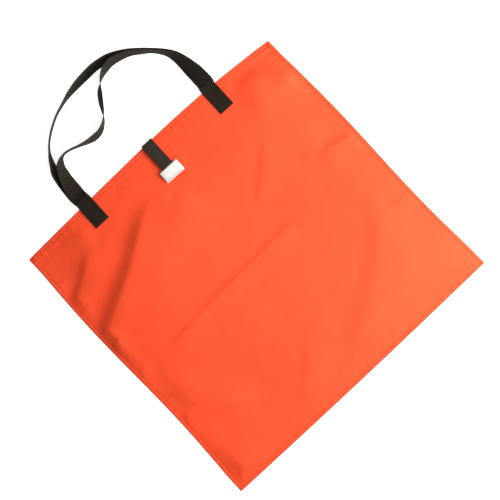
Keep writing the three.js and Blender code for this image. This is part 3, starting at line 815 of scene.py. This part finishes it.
def pack_cloth(name, colour, pale, deep):
    """Coated woven nylon: a fine plain weave under a smooth coating, faintly uneven in colour. Painted shade
    darkens it between the threads, and along the rolled seams and the fold at the mouth.
    """
    nodes = Nodes(name, 0.66, sheen=0.03, specular=0.42, sheen_roughness=0.35)
    blotches = nodes.noise(0.012, detail=4, roughness=0.55)
    flecks = nodes.noise(0.6, detail=2, roughness=0.6)
    weave = nodes.weave(0.9, 0.9)
    ground = nodes.ramp(blotches, [(0.3, deep), (0.5, colour), (0.72, pale)])
    flecked = nodes.mix(nodes.between(flecks, 0.0, 0.16), ground, scaled(deep, 0.8))
    # Painted shade between the threads: darker where the weave is low.
    weave_shaded = nodes.mix(nodes.between(weave, 0.24, 0.0, -1, 1), flecked, scaled(deep, 0.75))
    # Painted shade along the rolled seams and the mouth's fold, made a little uneven by noise.
    dust_and_edge_shade = nodes.math("MULTIPLY", nodes.attribute("dust_and_edge_shade"), nodes.between(nodes.noise(0.12, 4), 0.5, 1.0))
    edge_shaded = nodes.mix(dust_and_edge_shade, weave_shaded, scaled(deep, 0.62))
    inside = nodes.mix(nodes.attribute("inside"), edge_shaded, scaled(deep, 0.82))
    nodes.set("Base Color", inside)
    nodes.set("Roughness", nodes.between(nodes.noise(0.05, 5, 0.6), 0.6, 0.74))
    fine = nodes.bump(weave, 0.00009, 0.7)
    slubs = nodes.bump(nodes.noise(0.35, 3, 0.6, stretch=(1, 0.15, 1)), 0.0002, 0.35, fine)
    rumple = nodes.bump(nodes.noise(0.028, 3, 0.5), 0.0012, 0.35, slubs)
    nodes.set("Normal", rumple)
    return nodes.material


def webbing(name, colour, lit, pitch, sheen, bump):
    """Woven tape: ribs along the strap, crossed by the weft, with a flat selvedge."""
    nodes = Nodes(name, 0.8, sheen=sheen, specular=0.07, sheen_roughness=0.45)
    weave = nodes.weave(pitch * 1.5, pitch)
    parts = nodes.add("ShaderNodeSeparateXYZ", {0: nodes.uv}).outputs
    ribs = nodes.math("SINE", nodes.math("MULTIPLY", parts[1], 2 * math.pi / (pitch * 2)))
    height = nodes.math("ADD", nodes.math("MULTIPLY", ribs, 0.45), weave)
    fuzz = nodes.noise(1.4, 4, 0.7)
    dusty = nodes.noise(0.035, 4, 0.6)
    depth = nodes.between(height, 0, 1, -1.3, 1.3)
    # Painted shade in the low gaps between ribs and threads, and the lit colour on their tops.
    ground = nodes.ramp(depth, [(0, scaled(colour, 0.45)), (0.55, colour), (1, lit)])
    dust_and_edge_shade = nodes.mix(nodes.between(dusty, 0.0, 0.35), ground, lit)
    nodes.set("Base Color", nodes.mix(nodes.between(fuzz, 0, 0.25), dust_and_edge_shade, scaled(lit, 1.25)))
    nodes.set("Roughness", nodes.between(fuzz, 0.62, 0.85))
    nodes.set("Normal", nodes.bump(fuzz, 0.00012, 0.5, nodes.bump(height, bump, 0.8)))
    return nodes.material


def thread(name, colour):
    """Twisted sewing thread."""
    nodes = Nodes(name, 0.55, sheen=0.05, specular=0.2)
    parts = nodes.add("ShaderNodeSeparateXYZ", {0: nodes.uv}).outputs
    slanted = nodes.math("ADD", parts[0], parts[1])
    pitch = 0.55
    twist = nodes.math("SINE", nodes.math("MULTIPLY", slanted, 2 * math.pi / pitch))
    lit = nodes.between(twist, 0, 1, -1, 1)
    tone = nodes.ramp(lit, [(0, scaled(colour, 0.65)), (1, scaled(colour, 1.1))])
    dusty = nodes.between(nodes.noise(0.03), 0, 0.3)
    nodes.set("Base Color", nodes.mix(dusty, tone, scaled(colour, 0.6)))
    nodes.set("Normal", nodes.bump(twist, 0.00008, 0.7))
    return nodes.material


def pile(name, colour, lit_tip, scale):
    """The face of hook-and-loop tape."""
    nodes = Nodes(name, 0.8, sheen=0.3, specular=0.25)
    tufts = nodes.noise(scale, 4, 0.75)
    # Painted shade deep in the pile and painted highlight on the tips, following the same noise as the bump.
    nodes.set("Base Color", nodes.ramp(tufts, [(0.3, scaled(colour, 0.5)), (0.55, colour), (0.75, lit_tip)]))
    nodes.set("Roughness", nodes.between(tufts, 0.9, 0.65))
    nodes.set("Normal", nodes.bump(tufts, 0.0005, 0.8))
    return nodes.material


def woven_label(name, colour, shade):
    """Smooth satin-woven label cloth."""
    nodes = Nodes(name, 0.55, sheen=0.15, specular=0.4)
    weave = nodes.weave(0.5, 0.35)
    stains = nodes.noise(0.09, 4, 0.6)
    # Painted shade between the threads: darker where the weave is low.
    ground = nodes.ramp(nodes.between(weave, 0, 1, -1, 1), [(0, scaled(colour, 0.9)), (1, colour)])
    nodes.set("Base Color", nodes.mix(nodes.between(stains, 0, 0.3), ground, shade))
    nodes.set("Roughness", nodes.between(stains, 0.5, 0.65))
    nodes.set("Normal", nodes.bump(weave, 0.00006, 0.7))
    return nodes.material


def ground_material():
    """A plain white surface that glows faintly, so that hardly any shadow shows on it."""
    nodes = Nodes("pale_ground", 0.85, specular=0.2)
    nodes.shader.inputs["Emission Color"].default_value = (1, 1, 1, 1)
    nodes.shader.inputs["Emission Strength"].default_value = 0.8
    tones = [(0.3, (0.9, 0.9, 0.9)), (0.7, (0.93, 0.93, 0.925))]
    nodes.set("Base Color", nodes.ramp(nodes.noise(40, 3), tones))
    return nodes.material


# ---- Build ----

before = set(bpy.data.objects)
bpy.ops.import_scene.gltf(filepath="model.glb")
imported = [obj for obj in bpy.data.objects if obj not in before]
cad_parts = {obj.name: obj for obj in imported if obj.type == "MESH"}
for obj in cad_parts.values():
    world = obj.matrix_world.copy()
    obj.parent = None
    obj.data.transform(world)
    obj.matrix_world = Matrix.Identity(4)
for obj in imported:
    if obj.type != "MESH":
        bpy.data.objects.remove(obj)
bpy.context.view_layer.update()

ORANGE = (0.96, 0.066, 0.007)
ORANGE_PALE = (0.97, 0.07, 0.008)
ORANGE_DEEP = (0.94, 0.061, 0.006)
cloth = pack_cloth("pack_cloth", ORANGE, ORANGE_PALE, ORANGE_DEEP)
strap_black = webbing("handle_webbing", (0.0125, 0.009, 0.0045), (0.03, 0.0235, 0.0165), 1.25, 0.0, 0.00028)
tape_brown = webbing("tab_webbing", (0.032, 0.0235, 0.0175), (0.05, 0.037, 0.0275), 0.7, 0.03, 0.00016)
orange_thread = thread("orange_thread", (0.8, 0.058, 0.01))
black_thread = thread("black_thread", (0.011, 0.0085, 0.005))
white_thread = thread("white_thread", (0.72, 0.71, 0.66))
grey_thread = thread("grey_thread", (0.3, 0.3, 0.3))
loop_pile = pile("loop_pile", (0.02, 0.018, 0.015), (0.05, 0.045, 0.04), 1.1)
hook_pile = pile("hook_pile", (0.016, 0.014, 0.012), (0.045, 0.04, 0.035), 0.9)
label_white = woven_label("label_cloth", (0.84, 0.83, 0.78), (0.74, 0.72, 0.65))


def ride(piece, body, slot, *nodes):
    """Puts a piece on its body and hides the CAD nodes that it replaces. slot is not used."""
    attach(piece, body)
    if nodes:
        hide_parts(*nodes)
    return piece


front = panel("front_panel_cloth", front_mid, FRONT_STEP, -1, cloth)
ride(front, "bag", "pack_cloth", "front_panel", "front_hem")
back = panel("back_panel_cloth", back_mid, BACK_STEP, 1, cloth)
ride(back, "bag", "pack_cloth", "back_panel", "back_hem")

# Seam allowances.
side_range = (ALLOWANCE_TOP, HEIGHT - ALLOWANCE_BOTTOM)
for edge, across_range, down_range in (
    ("left", (ALLOWANCE_EDGE, ALLOWANCE), side_range),
    ("right", (WIDTH - ALLOWANCE, WIDTH - ALLOWANCE_EDGE), side_range),
    ("bottom", (ALLOWANCE_EDGE, WIDTH - ALLOWANCE_EDGE), (HEIGHT - ALLOWANCE, HEIGHT - ALLOWANCE_EDGE)),
):
    for layer, part in enumerate(("under", "over")):
        name = f"{edge}_seam_allowance_{part}"
        piece = strip(name, across_range, down_range, allowance_mid(layer), cloth)
        nodes = [f"{edge}_seam_allowance"] if part == "over" else []
        ride(piece, "bag", "pack_cloth_inside", *nodes)

# Rows of stitching. The rows on the back panel show the same seams from behind.
runs = np.arange(ROW_MARGIN, WIDTH - ROW_MARGIN, STITCH_PITCH)
falls = np.arange(ROW_TOP, HEIGHT - BOTTOM_STITCH, STITCH_PITCH)
lows = np.arange(SIDE_STITCH, WIDTH - SIDE_STITCH, STITCH_PITCH)
rows = (
    ("hem", runs, HEM_STITCH + 0 * runs, False),
    ("left_seam", SIDE_STITCH + 0 * falls, falls, True),
    ("right_seam", WIDTH - SIDE_STITCH + 0 * falls, falls, True),
    ("bottom_seam", lows, HEIGHT - BOTTOM_STITCH + 0 * lows, False),
)
stitch_pieces = {"front": [], "back": []}
for side, mid, facing in (("front", front_mid, 1), ("back", back_mid, -1)):
    for row, across, down, runs_down in rows:
        if row == "hem":
            name, nodes = f"{side}_hem_stitches", [f"{side}_hem_stitching"]
        elif side == "front":
            name, nodes = f"{row}_stitches", [f"{row}_stitching"]
        else:
            name, nodes = f"{row}_stitches_back", []
        piece = stitch_line(name, across, down, mid, facing, runs_down, orange_thread)
        stitch_pieces[side].append(ride(piece, "bag", "orange_thread", *nodes))

# Bar tacks across the seams at the mouth's corners.
for corner, across in (("left", SIDE_STITCH), ("right", WIDTH - SIDE_STITCH)):
    down = np.arange(3, 12, TACK_PITCH)
    place = across + 0.25 * np.sin(np.arange(len(down)) * 2.4)
    points, normals, right, below = on_cloth(place, down, front_mid, 1)
    slant = right + 0.18 * below * np.where(np.arange(len(down)) % 2, 1, -1)[:, None]
    name = f"{corner}_bar_tack_thread"
    tack = stitches(name, points, slant, normals, orange_thread, 3.0, TACK_PITCH, 0.6)
    stitch_pieces["front"].append(ride(tack, "bag", "orange_thread", f"{corner}_bar_tack"))

# Handles: each strap is one length of webbing, sewn down at both ends, that bends at the mouth.
hinge = MOUTH_Y + HINGE_Y
for side, body, stations, base, seed in (
    ("front", "front_handle", [*FRONT_STATIONS, *SHARED_STATIONS], FRONT_BASE, 18),
    ("back", "back_handle", [*BACK_STATIONS, *BACK_SHARED_STATIONS], BACK_BASE, 17),
):
    strap = handle(f"{side}_handle_strap", stations, base, seed, strap_black)
    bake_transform(strap)
    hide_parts(f"{side}_handle_loop", f"{side}_handle_end_left", f"{side}_handle_end_right")
    z, up = (base + STRAP - THREAD_SINK, 1) if side == "front" else (base + THREAD_SINK, -1)
    for end, x in HANDLE_X.items():
        name = f"{side}_handle_box_{end}"
        box = box_stitches(name, x, hinge - HANDLE_BOX_DROP, z, *HANDLE_BOX, up, black_thread)
        ride(box, "bag", "black_thread", f"{side}_handle_stitching_{end}")

# Closure tab: one strip from the outside of the back panel, round the mouth, down the front.
tab = swept("closure_tab_strip", *tab_line(), strap_section(TAB_WIDTH, TAB, 0.5), tape_brown)
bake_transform(tab)
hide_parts("closure_tab_base", "closure_tab_flap")
base_top, base_z = TAB_EDGE - TAB_BOX_DROP, TAB_LOW_Z - TAB / 2 + THREAD_SINK
box = box_stitches("closure_tab_base_box", TAB_X, base_top, base_z, *TAB_BOX, -1, black_thread)
ride(box, "bag", "black_thread", "closure_tab_base_stitching")

# Hook and loop patches under the tab, and the label on its end.
loop_piece = patch("loop_patch_tape", *LOOP_PATCH, LOOP_Z, LOOP_TAPE, loops, loop_pile)
ride(loop_piece, "bag", "hook_and_loop", "loop_patch")
hook_piece = patch("hook_patch_tape", *HOOK_PATCH, HOOK_Z, HOOK_TAPE, hooks, hook_pile, upper=-1)
ride(hook_piece, "closure_tab", "hook_and_loop", "hook_patch")
label = patch("label_cloth", *LABEL, LABEL_Z, LABEL_CLOTH, label_relief, label_white, 1, 0.4, droop)
ride(label, "closure_tab", "label_cloth", "label")

# The stitching that holds the loop patch and the label.
loop_edge = frame_stitches("loop_patch_stitches", *LOOP_PATCH, LOOP_SEWN, LOOP_Z + 0.72, black_thread)
ride(loop_edge, "bag", "black_thread", "loop_patch_stitching")
label_edge = frame_stitches("label_stitches", *LABEL, LABEL_SEWN, LABEL_Z + 0.36, white_thread, 1.9, droop)
ride(label_edge, "closure_tab", "white_thread", "label_stitching")

# A plain sewn line on the label.
line_x = np.arange(-16, 16.1, 1.5)
line_y, line_z = np.full(len(line_x), LABEL_TOP - LABEL_LINE_DROP), LABEL_Z + 0.26 + droop(line_x)
line_points = np.column_stack([line_x + TAB_X, line_y, line_z])
ahead, upward = (np.tile(axis, (len(line_x), 1)) for axis in ([1.0, 0.0, 0.0], [0.0, 0.0, 1.0]))
line = stitches("label_line", line_points, ahead, upward, grey_thread, 1.4, 0.5, 0.16)
ride(line, "closure_tab", "white_thread")

# ---- Stage ----

CENTRE = Vector((0.0153, 0.0215, 0.010))
VIEW_TURN = math.radians(-42.49)
FIELD = 0.945
LENS, SENSOR = 300.0, 36.0

camera_data = bpy.data.cameras.new("camera")
camera_data.lens, camera_data.sensor_width = LENS, SENSOR
camera = bpy.data.objects.new("camera", camera_data)
camera.location = CENTRE + Vector((0, 0, FIELD * LENS / SENSOR))
camera.rotation_euler = (0, 0, VIEW_TURN)
bpy.context.scene.collection.objects.link(camera)
bpy.context.scene.camera = camera


def area_light(name, direction, distance, size, energy):
    data = bpy.data.lights.new(name, "AREA")
    data.shape, data.size, data.energy = "SQUARE", size, energy
    light = bpy.data.objects.new(name, data)
    light.location = CENTRE + Vector(direction).normalized() * distance
    light.rotation_euler = Vector(direction).to_track_quat("Z", "Y").to_euler()
    bpy.context.scene.collection.objects.link(light)


area_light("key", (0.84, -0.54, 0.56), distance=1.3, size=0.8, energy=34)
area_light("overhead", (0.45, -0.35, 1.0), distance=2.6, size=2.0, energy=24)
world = bpy.data.worlds.new("studio")
world.use_nodes = True
background = world.node_tree.nodes["Background"]
background.inputs["Color"].default_value = (1, 1, 1, 1)
background.inputs["Strength"].default_value = 0.3
bpy.context.scene.world = world
bpy.context.scene.view_settings.view_transform = "Standard"

bpy.ops.mesh.primitive_grid_add(x_subdivisions=4, y_subdivisions=4, size=30, location=(0, 0, -0.0004))
floor = bpy.context.object
floor.name = "floor"
floor.data.uv_layers[0].name = "cloth"
floor.data.materials.append(ground_material())
